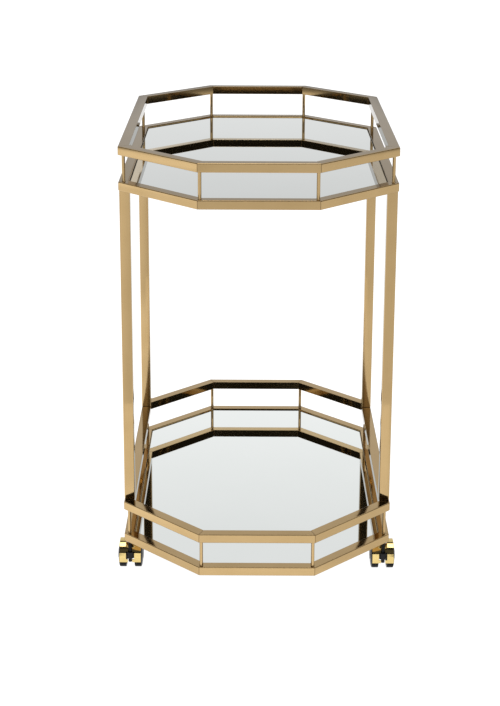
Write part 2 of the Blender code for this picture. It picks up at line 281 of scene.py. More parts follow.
def glass_edge():
    """The ground edge of the mirror, seen through its thickness."""
    material, shader, nodes = start_material("ground_glass_edge", Coat_Weight=0.6, Coat_Roughness=0.08)
    grain = nodes.noise(plain_coordinates(nodes), 700.0)
    nodes.link(nodes.mix(grain, rgb(0.10, 0.17, 0.14), rgb(0.20, 0.30, 0.25)), shader.inputs["Base Color"])
    nodes.link(nodes.spread(grain, 0.3, 0.7, 0.25, 0.45), shader.inputs["Roughness"])
    return material


def painted_board():
    """Matte black paint over fibreboard."""
    material, shader, nodes = start_material("black_painted_fibreboard")
    place = plain_coordinates(nodes)
    fibres = nodes.noise(place, 420.0, detail=6.0, roughness=0.65)
    clouds = nodes.noise(place, 12.0)
    nodes.link(nodes.mix(clouds, rgb(0.013, 0.013, 0.013), rgb(0.024, 0.023, 0.022)),
               shader.inputs["Base Color"])
    nodes.link(nodes.spread(fibres, 0.3, 0.7, 0.55, 0.8), shader.inputs["Roughness"])
    nodes.link(nodes.bump(fibres, 0.35, 0.0003), shader.inputs["Normal"])
    return material


def plain_steel():
    """Bright zinc plate."""
    material, shader, nodes = start_material("zinc_plated_steel", Metallic=1.0)
    crystals = nodes.noise(plain_coordinates(nodes), 260.0, detail=5.0)
    nodes.link(nodes.mix(crystals, rgb(0.50, 0.50, 0.49), rgb(0.66, 0.66, 0.65)),
               shader.inputs["Base Color"])
    nodes.link(nodes.spread(crystals, 0.3, 0.7, 0.22, 0.38), shader.inputs["Roughness"])
    return material


def blackened_steel():
    """The dark stem, with a little bare metal showing through."""
    material, shader, nodes = start_material("blackened_steel", Metallic=1.0)
    wear = nodes.noise(plain_coordinates(nodes), 380.0, detail=6.0, roughness=0.6)
    bare = nodes.spread(wear, 0.6, 0.8, 0.0, 1.0)
    nodes.link(nodes.mix(bare, rgb(0.014, 0.014, 0.014), rgb(0.07, 0.065, 0.06)),
               shader.inputs["Base Color"])
    nodes.link(nodes.spread(wear, 0.3, 0.7, 0.42, 0.28), shader.inputs["Roughness"])
    return material


def moulded_nylon():
    """Satin black nylon with a fine spark-eroded grain."""
    material, shader, nodes = start_material("moulded_black_nylon", IOR=1.3)
    place = plain_coordinates(nodes)
    grain = nodes.noise(place, 1500.0, detail=2.0)
    clouds = nodes.noise(place, 60.0)
    nodes.link(nodes.mix(clouds, rgb(0.006, 0.006, 0.007), rgb(0.012, 0.012, 0.013)),
               shader.inputs["Base Color"])
    nodes.link(nodes.spread(grain, 0.3, 0.7, 0.34, 0.5), shader.inputs["Roughness"])
    nodes.link(nodes.bump(grain, 0.2, 0.0001), shader.inputs["Normal"])
    return material


def glossy_wheel():
    """Glossy black moulded plastic with a trace of dust."""
    material, shader, nodes = start_material("glossy_black_wheel", IOR=1.13)
    dust = nodes.noise(plain_coordinates(nodes), 150.0, detail=5.0)
    dusty = nodes.spread(dust, 0.5, 0.8, 0.0, 1.0)
    nodes.link(nodes.mix(dusty, rgb(0.003, 0.003, 0.0035), rgb(0.008, 0.008, 0.008)),
               shader.inputs["Base Color"])
    nodes.link(nodes.spread(dust, 0.35, 0.75, 0.2, 0.3), shader.inputs["Roughness"])
    return material


def worn_tread():
    """The rolling band of a wheel, dulled by the floor."""
    material, shader, nodes = start_material("worn_black_tread", IOR=1.13)
    across = nodes.stretched(plain_coordinates(nodes), (1400.0, 250.0, 250.0))
    scuffs = nodes.noise(across, 1.0, detail=4.0)
    nodes.link(nodes.mix(scuffs, rgb(0.004, 0.004, 0.0045), rgb(0.012, 0.0115, 0.011)),
               shader.inputs["Base Color"])
    nodes.link(nodes.spread(scuffs, 0.3, 0.7, 0.3, 0.5), shader.inputs["Roughness"])
    nodes.link(nodes.bump(scuffs, 0.15, 0.0001), shader.inputs["Normal"])
    return material


GOLD = champagne_gold("polished_champagne_gold", 0.05, 0.085, BRUSH_MAP)
LEG_GOLD = champagne_gold("brushed_champagne_gold", 0.06, 0.10, BRUSH_MAP)
PLAIN_GOLD = champagne_gold("plain_champagne_gold", 0.05, 0.085)
SEAM = seam_gold()
BRASS = polished_brass()
MIRROR = silvered_glass()
GLASS_EDGE = glass_edge()
BOARD = painted_board()
STEEL = plain_steel()
BLACK_STEEL = blackened_steel()
NYLON = moulded_nylon()
WHEEL = glossy_wheel()
TREAD = worn_tread()

# ---------------------------------------------------------------- mesh tools


def add_piece(name, mesh, body, replaced=(), location=(0, 0, 0), rotation=(0, 0, 0)):
    """A visible piece that rides on a body and stands for the CAD nodes named."""
    piece = bpy.data.objects.new(name, mesh)
    bpy.context.scene.collection.objects.link(piece)
    piece.location = location
    piece.rotation_euler = rotation
    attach(piece, body)
    if replaced:
        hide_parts(*replaced)
    return piece


def written(shape, name, placed=Matrix.Identity(4)):
    """Turns a bmesh's faces outward, moves it to its place and writes it to a mesh."""
    bmesh.ops.recalc_face_normals(shape, faces=shape.faces)
    bmesh.ops.transform(shape, matrix=placed, verts=shape.verts)
    mesh = bpy.data.meshes.new(name)
    shape.to_mesh(mesh)
    shape.free()
    return mesh


def shaded(mesh, materials, sharp_angle=SHARP_ANGLE):
    """Gives a mesh its materials and smooth shading, which keeps edges over the angle sharp."""
    for material in materials:
        mesh.materials.append(material)
    mesh.shade_smooth()
    mesh.set_sharp_from_angle(angle=math.radians(sharp_angle))
    return mesh


def keep_flats_flat(piece):
    """Large faces keep their own normal, and only the rounded edges bend the light."""
    weighted = piece.modifiers.new("flat_faces", "WEIGHTED_NORMAL")
    weighted.keep_sharp = True
    weighted.weight = 100


CORNER_STEPS = 3


def rounded_section(half_width, half_height, outer_radius, inner_radius):
    """An anticlockwise rounded rectangle, as (across, up) points. Across runs outward."""
    points = []
    for turn, (side, level) in enumerate(((1, -1), (1, 1), (-1, 1), (-1, -1))):
        radius = outer_radius if side > 0 else inner_radius
        start = math.pi / 2 * (turn - 1)
        for step in range(CORNER_STEPS + 1):
            angle = start + math.pi / 2 * step / CORNER_STEPS
            points.append((side * (half_width - radius) + radius * math.cos(angle),
                           level * (half_height - radius) + radius * math.sin(angle)))
    return points


def shrunk(section, amount):
    """The section moved inward all round, which keeps its number of points."""
    half_width = max(across for across, up in section)
    half_height = max(up for across, up in section)
    return [(across * (1 - amount / half_width), up * (1 - amount / half_height)) for across, up in section]


def loft(shape, rings, brush=None, offset=0.0, seam_bands=()):
    """Skins rings of points with quads and closes both ends.

    Brush is the UV layer, with U along the loft and V round it, which starts at the offset.
    """
    layers = [[shape.verts.new(point) for point in ring] for ring in rings]
    count = len(layers[0])
    run = 0.0
    for index, (near, far) in enumerate(zip(layers, layers[1:])):
        step = (far[0].co - near[0].co).length
        girth = offset
        for i in range(count):
            j = (i + 1) % count
            width = (near[j].co - near[i].co).length
            face = shape.faces.new((near[i], near[j], far[j], far[i]))
            face.material_index = 1 if index in seam_bands else 0
            if brush:
                end, rise = run + step, girth + width
                for loop, spot in zip(face.loops, ((run, girth), (run, rise), (end, rise), (end, girth))):
                    loop[brush].uv = spot
            girth += width
        run += step
    for ring in (list(reversed(layers[0])), layers[-1]):
        cap = shape.faces.new(ring)
        cap.material_index = 1 if seam_bands else 0
        if brush:
            for loop in cap.loops:
                loop[brush].uv = loop.vert.co.xy


ON_AXIS = 1e-7


def turned(shape, profile, facets, other_bands=(), centre=(0, 0), base=0.0, brush=None):
    """Turns a (radius, height) profile about Z. A point on the axis closes the shape there.

    The other bands get the second material. Brush is the UV layer, with U round the shape and V up it.
    """
    rings = []
    for radius, height in profile:
        if radius < ON_AXIS:
            rings.append([shape.verts.new((centre[0], centre[1], base + height))])
            continue
        ring = []
        for i in range(facets):
            angle = 2 * math.pi * i / facets
            ring.append(shape.verts.new((centre[0] + radius * math.cos(angle),
                                         centre[1] + radius * math.sin(angle), base + height)))
        rings.append(ring)
    if profile[0][0] > ON_AXIS:
        rings.append(rings[0])
    for band, (near, far) in enumerate(zip(rings, rings[1:])):
        for i in range(facets):
            j = (i + 1) % facets
            corners = [near[0]] if len(near) == 1 else [near[i], near[j]]
            corners += [far[0]] if len(far) == 1 else [far[j], far[i]]
            face = shape.faces.new(corners)
            face.material_index = 1 if band in other_bands else 0
            if brush:
                for loop in face.loops:
                    reach = (loop.vert.co.xy - Vector(centre)).length
                    loop[brush].uv = (i * reach * 2 * math.pi / facets, loop.vert.co.z)


def arc(radius, start_degrees, end_degrees, steps, centre=(0.0, 0.0)):
    """Points on an arc, both ends included."""
    points = []
    for i in range(steps + 1):
        angle = math.radians(start_degrees + (end_degrees - start_degrees) * i / steps)
        points.append((centre[0] + radius * math.cos(angle), centre[1] + radius * math.sin(angle)))
    return points


def prism_mesh(outline, low, high, placed=Matrix.Identity(4)):
    """A flat outline in XY between two heights, then moved to its place."""
    shape = bmesh.new()
    bottom = [shape.verts.new((x, y, low)) for x, y in outline]
    top = [shape.verts.new((x, y, high)) for x, y in outline]
    for i in range(len(outline)):
        j = (i + 1) % len(outline)
        shape.faces.new((bottom[i], bottom[j], top[j], top[i]))
    shape.faces.new(list(reversed(bottom)))
    shape.faces.new(top)
    return written(shape, "prism", placed)


def turned_mesh(name, profile, facets, placed=Matrix.Identity(4)):
    shape = bmesh.new()
    turned(shape, profile, facets)
    return written(shape, name, placed)


def rod_profile(radius, low, high):
    return [(0, high), (radius, high), (radius, low), (0, low)]


ROUNDED_ANGLE = math.radians(40)
ROUNDING_SEGMENTS = 2


def joined_and_cut(start, changes, edge_width):
    """Joins and cuts meshes with Booleans, rounds the sharp edges, and returns the new mesh."""
    draft = bpy.data.objects.new("draft", start)
    bpy.context.scene.collection.objects.link(draft)
    tools = []
    for operation, mesh in changes:
        tool = bpy.data.objects.new("draft_tool", mesh)
        bpy.context.scene.collection.objects.link(tool)
        change = draft.modifiers.new("change", "BOOLEAN")
        change.operation = operation
        change.object = tool
        tools.append(tool)
    rounding = draft.modifiers.new("rounding", "BEVEL")
    rounding.width = edge_width
    rounding.segments = ROUNDING_SEGMENTS
    rounding.limit_method = "ANGLE"
    rounding.angle_limit = ROUNDED_ANGLE
    rounding.use_clamp_overlap = True
    bpy.context.view_layer.update()
    graph = bpy.context.evaluated_depsgraph_get()
    mesh = bpy.data.meshes.new_from_object(draft.evaluated_get(graph))
    for spent in (draft, *tools):
        bpy.data.objects.remove(spent, do_unlink=True)
    mesh.materials.clear()
    return mesh


# ---------------------------------------------------------------- rings, shelves, posts and legs


def side_normals():
    """The outward normal of each side, from post i to post i + 1."""
    normals = []
    for i in range(SIDES):
        along = (POST_POINTS[(i + 1) % SIDES] - POST_POINTS[i]).normalized()
        normals.append(Vector((along.y, -along.x)))
    return normals


NORMALS = side_normals()


def mitre(i):
    """The step at post i for each metre outward, which keeps both neighbouring faces at that distance."""
    before, after = NORMALS[i - 1], NORMALS[i]
    return (before + after) / (1 + before.dot(after))


def inset_outline(inset):
    """The octagon whose sides lie an inset inside the outer faces of the tubes."""
    outward = RAIL_HALF_WIDTH - inset
    return [POST_POINTS[i] + mitre(i) * outward for i in range(SIDES)]


SEAM_BANDS = (0, 2)


def tube_ring(node):
    """Eight mitred lengths of rounded tube, with a fine seam at each corner."""
    low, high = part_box(node)
    middle_z = (low.z + high.z) / 2
    half_height = (high.z - low.z) / 2
    section = rounded_section(RAIL_HALF_WIDTH, half_height, TUBE_CORNER_RADIUS, INNER_CORNER_RADIUS)
    seam = shrunk(section, SEAM_DEPTH)
    shape = bmesh.new()
    brush = shape.loops.layers.uv.new(BRUSH_MAP)
    for i in range(SIDES):
        j = (i + 1) % SIDES
        along = (POST_POINTS[j] - POST_POINTS[i]).normalized()
        rings = []
        for corner, inward, outline, back in (
            (i, 1, seam, SEAM_GAP), (i, 1, section, SEAM_WIDTH),
            (j, -1, section, SEAM_WIDTH), (j, -1, seam, SEAM_GAP),
        ):
            start = POST_POINTS[corner] + along * inward * back
            rings.append([(*(start + mitre(corner) * across), middle_z + up) for across, up in outline])
        loft(shape, rings, brush, RING_BRUSH_SHIFT * i, SEAM_BANDS)
    mesh = shaded(written(shape, node + "_tube"), (GOLD, SEAM))
    keep_flats_flat(add_piece(node + "_tube", mesh, "cart", [node]))


POST_FILLET_HEIGHT = 0.0011
POST_FILLET_WIDTH = 0.0009
POST_FILLET_STEPS = 5
POST_FACETS = 32


def gallery_post(tier, number):
    """A round post with a small brazed fillet at each end."""
    node = f"{tier}_gallery_post_{number}"
    low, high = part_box(node)
    length = high.z - low.z
    foot = []
    for step in range(POST_FILLET_STEPS + 1):
        turn = math.pi / 2 * step / POST_FILLET_STEPS
        foot.append((POST_RADIUS + POST_FILLET_WIDTH * (1 - math.sin(turn)),
                     POST_FILLET_HEIGHT * (1 - math.cos(turn))))
    head = [(radius, length - height) for radius, height in foot]
    profile = [(0, length), *head, *reversed(foot), (0, 0)]
    shape = bmesh.new()
    brush = shape.loops.layers.uv.new(BRUSH_MAP)
    middle = (low + high) / 2
    turned(shape, profile, POST_FACETS, centre=middle.xy, base=low.z, brush=brush)
    mesh = shaded(written(shape, node + "_rod"), (GOLD,))
    add_piece(node + "_rod", mesh, "cart", [node])


def leg(corner):
    """A square tube with rounded edges and a fine seam where it meets the tiers."""
    node = corner + "_leg"
    low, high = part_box(node)
    middle = (low + high) / 2
    section = rounded_section(LEG_SIZE / 2, LEG_SIZE / 2, TUBE_CORNER_RADIUS, TUBE_CORNER_RADIUS)
    seam = shrunk(section, SEAM_DEPTH)
    shape = bmesh.new()
    brush = shape.loops.layers.uv.new(BRUSH_MAP)
    rings = []
    for outline, height in ((seam, low.z), (section, low.z + SEAM_WIDTH),
                            (section, high.z - SEAM_WIDTH), (seam, high.z)):
        rings.append([(middle.x + x, middle.y + y, height) for x, y in outline])
    loft(shape, rings, brush, LEG_BRUSH_SHIFT, SEAM_BANDS)
    mesh = shaded(written(shape, node + "_tube"), (LEG_GOLD, SEAM))
    keep_flats_flat(add_piece(node + "_tube", mesh, "cart", [node]))


MIRROR_CHAMFER = 0.0012
MIRROR_CHAMFER_DEPTH = 0.0006
MIRROR_BASE_CHAMFER = 0.00048
MIRROR_SHARP_ANGLE = 10
FACES_UP = 0.2


def mirror(tier):
    """A sheet of silvered glass with a narrow polished chamfer and ground edges."""
    node = tier + "_mirror"
    low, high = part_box(node)
    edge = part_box("upper_gallery_rail")[1].x - high.x
    levels = ((edge + MIRROR_BASE_CHAMFER, low.z), (edge, low.z + MIRROR_BASE_CHAMFER),
              (edge, high.z - MIRROR_CHAMFER_DEPTH), (edge + MIRROR_CHAMFER, high.z))
    shape = bmesh.new()
    rings = [[(*point, height) for point in inset_outline(inset)] for inset, height in levels]
    loft(shape, rings)
    shape.normal_update()
    for face in shape.faces:
        face.material_index = 0 if face.normal.z > FACES_UP else 1
    mesh = shaded(written(shape, node + "_glass"), (MIRROR, GLASS_EDGE), MIRROR_SHARP_ANGLE)
    add_piece(node + "_glass", mesh, "cart", [node])


SCREW_RADIUS = 0.0032
SCREW_HEIGHT = 0.0012
SCREW_DOME_ANGLES = (0, 25, 50, 70)
SCREW_RECESS_RADIUS = 0.0015
SCREW_RECESS_TAPER = 0.0002
SCREW_RECESS_RIM = 0.97 * SCREW_HEIGHT
SCREW_RECESS_FLOOR = 0.35 * SCREW_HEIGHT
SCREW_FROM_TUBE = 0.006
SCREW_FACETS = 20


def shelf_screws(tier):
    """Round-headed screws that hold the ledge up to the board, one at the middle of each side."""
    ledge_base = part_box(tier + "_shelf_ledge")[0].z
    inner = inset_outline(2 * RAIL_HALF_WIDTH + SCREW_FROM_TUBE)
    dome = [(SCREW_RADIUS * math.cos(math.radians(angle)), -SCREW_HEIGHT * math.sin(math.radians(angle)))
            for angle in SCREW_DOME_ANGLES]
    recess = [(SCREW_RECESS_RADIUS, -SCREW_RECESS_RIM),
              (SCREW_RECESS_RADIUS - SCREW_RECESS_TAPER, -SCREW_RECESS_FLOOR), (0, -SCREW_RECESS_FLOOR)]
    shape = bmesh.new()
    for i in range(SIDES):
        point = (inner[i] + inner[(i + 1) % SIDES]) / 2
        turned(shape, [(0, 0), *dome, *recess], SCREW_FACETS, centre=point, base=ledge_base)
    mesh = shaded(written(shape, tier + "_shelf_screws"), (STEEL,))
    add_piece(tier + "_shelf_screws", mesh, "cart")


# ---------------------------------------------------------------- casters
# Each mesh is made once, in the caster's own place: the floor below its stem, wheels trailing towards +Y.
# Angles round the axle are in degrees: 0 is straight back and 90 is straight up.

FACING_RIGHT = Euler((math.pi / 2, 0, math.pi / 2))
FACING_LEFT = Euler((math.pi / 2, 0, -math.pi / 2))
AXLE_PLANE = Matrix.Translation(AXLE_POINT) @ FACING_RIGHT.to_matrix().to_4x4()

CLEARANCE = 0.0003

HOOD_WALL = 0.0015
HOOD_BACK = 35
HOOD_FRONT = 191
HOOD_STEPS = 60
HOOD_EDGE = 0.00035
SLOT_HALF_WIDTH = 0.0040
SLOT_STEPS = 16
WINDOW_CLEARANCE = 0.0005

STEM_RADIUS = 0.0035
AXLE_RADIUS = 0.0030
AXLE_CHAMFER = 0.0005
AXLE_REACH = 0.0115
AXLE_HOLE_RADIUS = AXLE_RADIUS + CLEARANCE

BOSS_RADIUS = 0.0072
BOSS_RIM = 0.0009
BOSS_RIM_STEPS = 5
BOSS_TOP = 0.039
BOSS_WAIST = 0.0295
BOSS_STEP = 0.0262
BOSS_STEP_RADIUS = 0.0060
BOSS_FOOT = 0.0188
BOSS_FOOT_RADIUS = 0.0034
BOSS_FOOT_SUNK = 0.001
BOSS_FACETS = 48
NARROWING_STEPS = 8

CORE_WIDTH = 0.014
CORE_EDGE = 0.0003
WEB_RADIUS = HOOD_RADIUS - HOOD_WALL - CLEARANCE
WEB_FRONT = 172
WEB_STEPS = 40
BELLY_RADIUS = 0.010
BELLY_FRONT = 200
BELLY_BACK = 340
BELLY_STEPS = 16
POCKET_CORNER = (0.0065, 0.004)
POCKET_RADIUS = 0.0215
POCKET_BACK = 30
POCKET_FRONT = 92
POCKET_STEPS = 14
POCKET_DEPTH = 0.0045
ROD_FACETS = 32
HOLE_FACETS = 24


def hood_mesh():
    """The curved guard over both wheels, slotted for the stem and with a wider window for the boss."""
    outline = (arc(HOOD_RADIUS, HOOD_BACK, HOOD_FRONT, HOOD_STEPS)
               + arc(HOOD_RADIUS - HOOD_WALL, HOOD_FRONT, HOOD_BACK, HOOD_STEPS))
    shell = prism_mesh(outline, -HOOD_WIDTH / 2, HOOD_WIDTH / 2, AXLE_PLANE)
    slot_end = arc(SLOT_HALF_WIDTH, 0, 180, SLOT_STEPS)
    slot = [(SLOT_HALF_WIDTH, -HOOD_RADIUS), *slot_end, (-SLOT_HALF_WIDTH, -HOOD_RADIUS)]
    half = BOSS_RADIUS + WINDOW_CLEARANCE
    window = [(half, -HOOD_RADIUS), (half, 0), (-half, 0), (-half, -HOOD_RADIUS)]
    mesh = joined_and_cut(shell, [
        ("DIFFERENCE", prism_mesh(slot, 0, 2 * HOOD_RADIUS)),
        ("DIFFERENCE", prism_mesh(window, BOSS_STEP - WINDOW_CLEARANCE, BOSS_TOP + WINDOW_CLEARANCE)),
    ], HOOD_EDGE)
    return shaded(mesh, (BRASS,))


def boss_profile():
    """A barrel with a rounded rim, which narrows to its step."""
    shoulder = arc(BOSS_RIM, 90, 0, BOSS_RIM_STEPS, centre=(BOSS_RADIUS - BOSS_RIM, BOSS_TOP - BOSS_RIM))
    narrowing = []
    for i in range(NARROWING_STEPS + 1):
        turn = math.pi / 2 * i / NARROWING_STEPS
        narrowing.append((BOSS_STEP_RADIUS + (BOSS_RADIUS - BOSS_STEP_RADIUS) * math.cos(turn),
                          BOSS_WAIST - (BOSS_WAIST - BOSS_STEP) * math.sin(turn)))
    return [(0, BOSS_TOP), *shoulder, *narrowing, (0, BOSS_STEP)]


def core_mesh():
    """The core between the wheels: a pocketed web under the hood and a stepped boss round the stem."""
    half_width = CORE_WIDTH / 2
    rim = arc(WEB_RADIUS, HOOD_BACK, WEB_FRONT, WEB_STEPS)
    belly = arc(BELLY_RADIUS, BELLY_FRONT, BELLY_BACK, BELLY_STEPS)
    web = prism_mesh(rim + belly, -half_width, half_width, AXLE_PLANE)
    boss = turned_mesh("boss", boss_profile(), BOSS_FACETS)
    foot_profile = rod_profile(BOSS_FOOT_RADIUS, BOSS_FOOT, BOSS_TOP - BOSS_FOOT_SUNK)
    foot = turned_mesh("foot", foot_profile, ROD_FACETS)
    bore_profile = rod_profile(STEM_RADIUS + CLEARANCE, BOSS_STEP + CLEARANCE, FRAME_BASE)
    bore = turned_mesh("bore", bore_profile, ROD_FACETS)
    hole_profile = rod_profile(AXLE_HOLE_RADIUS, -CORE_WIDTH, CORE_WIDTH)
    axle_hole = turned_mesh("axle_hole", hole_profile, HOLE_FACETS, AXLE_PLANE)
    pocket = [POCKET_CORNER, *arc(POCKET_RADIUS, POCKET_BACK, POCKET_FRONT, POCKET_STEPS)]
    pocket_left = prism_mesh(pocket, -CORE_WIDTH, -half_width + POCKET_DEPTH, AXLE_PLANE)
    pocket_right = prism_mesh(pocket, half_width - POCKET_DEPTH, CORE_WIDTH, AXLE_PLANE)
    changes = [("UNION", boss), ("UNION", foot), ("DIFFERENCE", pocket_left), ("DIFFERENCE", pocket_right),
               ("DIFFERENCE", bore), ("DIFFERENCE", axle_hole)]
    return shaded(joined_and_cut(web, changes, CORE_EDGE), (NYLON,))


# The outer face is an ellipse in section. Its angles run along it from the axis.
WHEEL_CROWN = 0.0037
WHEEL_FACE_STEP = 0.00045
CAP_ANGLES = (0, 8, 16, 22)
FACE_ANGLES = (22.8, 30, 40, 50, 60, 68, 74)
WHEEL_RIM_RADIUS = 0.0012
WHEEL_RIM_STEPS = 6
SHOULDER_START = 62
TREAD_TOP = 0.0113
TREAD_SHOULDER_FACETS = 2
TREAD_INNER_FACETS = 3
DISH_RADIUS = 0.0206
DISH_DEPTH = 0.0072
DISH_EDGE = 0.0006
DISH_FILLET = 0.0008
HUB_BASE_RADIUS = 0.0064
HUB_RADIUS = 0.0061
HUB_CHAMFER = 0.0004
HUB_CHAMFER_DEPTH = 0.0005
WHEEL_BORE_DEPTH = 0.0120
WHEEL_FACETS = 96
WHEEL_SHARP_ANGLE = 34


def crowned_face(angles, sunk):
    """Points of the wheel's outer face at angles along it, sunk below its full height."""
    points = []
    for degrees in angles:
        angle = math.radians(degrees)
        fall = WHEEL_CROWN * (1 - math.cos(angle))
        points.append((WHEEL_RADIUS * math.sin(angle), WHEEL_THICKNESS - fall - sunk))
    return points


def wheel_mesh():
    """A wheel with its inner face at Z = 0: a stepped outer face, a worn tread and a dished inner side."""
    rim_centre = WHEEL_RADIUS - WHEEL_RIM_RADIUS
    face = crowned_face(CAP_ANGLES, 0.0) + crowned_face(FACE_ANGLES, WHEEL_FACE_STEP)
    shoulder = arc(WHEEL_RIM_RADIUS, SHOULDER_START, 0, WHEEL_RIM_STEPS, centre=(rim_centre, TREAD_TOP))
    inner_edge = arc(WHEEL_RIM_RADIUS, 0, -90, WHEEL_RIM_STEPS, centre=(rim_centre, WHEEL_RIM_RADIUS))
    dish = [(DISH_RADIUS + DISH_EDGE, 0.0), (DISH_RADIUS, DISH_EDGE),
            (DISH_RADIUS - DISH_EDGE, DISH_DEPTH - DISH_EDGE),
            (DISH_RADIUS - DISH_EDGE - DISH_FILLET, DISH_DEPTH)]
    hub = [(HUB_BASE_RADIUS + DISH_FILLET, DISH_DEPTH), (HUB_BASE_RADIUS, DISH_DEPTH - DISH_EDGE),
           (HUB_RADIUS, HUB_CHAMFER_DEPTH), (HUB_RADIUS - HUB_CHAMFER, 0.0)]
    bore = [(AXLE_HOLE_RADIUS, 0.0), (AXLE_HOLE_RADIUS, WHEEL_BORE_DEPTH), (0, WHEEL_BORE_DEPTH)]
    cylinder = len(face + shoulder) - 1
    tread = range(cylinder - TREAD_SHOULDER_FACETS, cylinder + TREAD_INNER_FACETS + 1)
    shape = bmesh.new()
    turned(shape, face + shoulder + inner_edge + dish + hub + bore, WHEEL_FACETS, tread)
    return shaded(written(shape, "wheel"), (WHEEL, TREAD), WHEEL_SHARP_ANGLE)


def axle_mesh():
    """The axle pin, with chamfered ends."""
    half = WHEEL_GAP / 2 + AXLE_REACH
    end_radius = AXLE_RADIUS - AXLE_CHAMFER
    top = [(0, half), (end_radius, half), (AXLE_RADIUS, half - AXLE_CHAMFER)]
    profile = top + [(radius, -height) for radius, height in reversed(top)]
    return shaded(turned_mesh("axle", profile, ROD_FACETS), (STEEL,))


STEM_LOW = BOSS_STEP + 2 * CLEARANCE
STEM_CHAMFER = 0.0005
STEM_FACETS = 40
COLLAR_RADIUS = 0.0055
COLLAR_GAP = 0.0018
COLLAR_TOP = FRAME_BASE - COLLAR_GAP
COLLAR_HEIGHT = 0.0028
COLLAR_ROUNDING = 0.0006
COLLAR_STEPS = 4
THREAD_PITCH = 0.00125
THREAD_DEPTH = 0.0006
THREAD_TIP = 0.0007
THREAD_START = 0.0012


def stem_mesh():
    """The stem: a plain lower shank, a round collar with rounded edges, and a threaded end."""
    thread_root = STEM_RADIUS - THREAD_DEPTH
    profile = [(0, STEM_TOP), (thread_root, STEM_TOP), (STEM_RADIUS, STEM_TOP - THREAD_TIP)]
    height = STEM_TOP - THREAD_START
    while height > COLLAR_TOP + THREAD_PITCH:
        profile += [(STEM_RADIUS, height), (thread_root, height - THREAD_PITCH / 2)]
        height -= THREAD_PITCH
    profile += [(STEM_RADIUS, height), (STEM_RADIUS, COLLAR_TOP)]
    collar_base = COLLAR_TOP - COLLAR_HEIGHT
    rim_centre = COLLAR_RADIUS - COLLAR_ROUNDING
    upper_centre = (rim_centre, COLLAR_TOP - COLLAR_ROUNDING)
    lower_centre = (rim_centre, collar_base + COLLAR_ROUNDING)
    profile += arc(COLLAR_ROUNDING, 90, 0, COLLAR_STEPS, centre=upper_centre)
    profile += arc(COLLAR_ROUNDING, 0, -90, COLLAR_STEPS, centre=lower_centre)
    profile += [(STEM_RADIUS, collar_base), (STEM_RADIUS, STEM_LOW + STEM_CHAMFER),
                (STEM_RADIUS - STEM_CHAMFER, STEM_LOW), (0, STEM_LOW)]
    return shaded(turned_mesh("stem", profile, STEM_FACETS), (BLACK_STEEL,))


SLEEVE_RADIUS = 0.0065
SLEEVE_CHAMFER = 0.0003
SOCKET_FACETS = 48
FLANGE_RADIUS = 0.0080
FLANGE_RIM_RADIUS = 0.0006
FLANGE_RIM_STEPS = 8


def socket_mesh():
    """The flanged sleeve in the frame that takes the stem."""
    bore = STEM_RADIUS + CLEARANCE
    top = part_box("front_left_caster_socket")[1].z
    flange_top = FRAME_BASE - CLEARANCE
    flange_base = flange_top - 2 * FLANGE_RIM_RADIUS
    rim_centre = (FLANGE_RADIUS - FLANGE_RIM_RADIUS, flange_base + FLANGE_RIM_RADIUS)
    rim = arc(FLANGE_RIM_RADIUS, 90, -90, FLANGE_RIM_STEPS, centre=rim_centre)
    outside = [(SLEEVE_RADIUS, top - SLEEVE_CHAMFER), (SLEEVE_RADIUS, flange_top), *rim]
    inside = [(bore + SLEEVE_CHAMFER, flange_base), (bore, flange_base + SLEEVE_CHAMFER), (bore, top)]
    profile = [*outside, *inside, (SLEEVE_RADIUS - SLEEVE_CHAMFER, top)]
    return shaded(turned_mesh("socket", profile, SOCKET_FACETS), (STEEL,))


def add_casters():
    hood, core, wheel, axle = hood_mesh(), core_mesh(), wheel_mesh(), axle_mesh()
    stem, socket = stem_mesh(), socket_mesh()
    for corner in CORNERS:
        foot = centre_of(corner + "_caster_stem")
        foot.z = 0
        body = corner + "_caster"
        add_piece(corner + "_socket_sleeve", socket, "cart", [corner + "_caster_socket"], foot)
        add_piece(corner + "_stem_pin", stem, "cart", [corner + "_caster_stem"], foot)
        keep_flats_flat(add_piece(corner + "_core_moulding", core, body,
                                  [corner + "_caster_core"], foot))
        keep_flats_flat(add_piece(corner + "_hood_shell", hood, body,
                                  [corner + "_caster_hood"], foot))
        axle_place = foot + AXLE_POINT
        add_piece(corner + "_axle_pin", axle, body, [corner + "_caster_axle"], axle_place,
                  FACING_RIGHT)
        for side, sign, facing in (("left", -1, FACING_LEFT), ("right", 1, FACING_RIGHT)):
            add_piece(f"{corner}_{side}_wheel_moulding", wheel, f"{corner}_{side}_wheel",
                      [f"{corner}_caster_{side}_wheel"], axle_place + Vector((sign * WHEEL_GAP / 2, 0, 0)),
                      facing)


# ---------------------------------------------------------------- studio


SKY_STOPS = ((0.00, 0.60), (0.15, 0.50), (0.177, 0.81), (0.235, 0.68), (0.36, 0.97),
             (0.43, 0.84), (0.55, 0.80), (0.80, 0.80), (0.85, 0.15), (1.00, 0.15))
FLAG_DARKNESS = (0.985, 0.91)
FLAG_DARKNESS_CLIMB = (0.42, 0.56)
# A flag is dark within its first angle of a heading and gone past its second, in degrees. Its lower and
# upper edges are soft too, and their places are climbs: the sine of the angle above the horizon.
HIGH_FLAG = (24, 32, (0.360, 0.378), (0.92, 0.97))
NARROW_FLAG = (2.6, 4.0, (0.12, 0.15), (0.45, 0.50))
LOW_FLAG = (24, 32, (0.12, 0.15), (0.25, 0.29))
SIDE_FLAG = (20, 28, (0.147, 0.166), (0.50, 0.70))


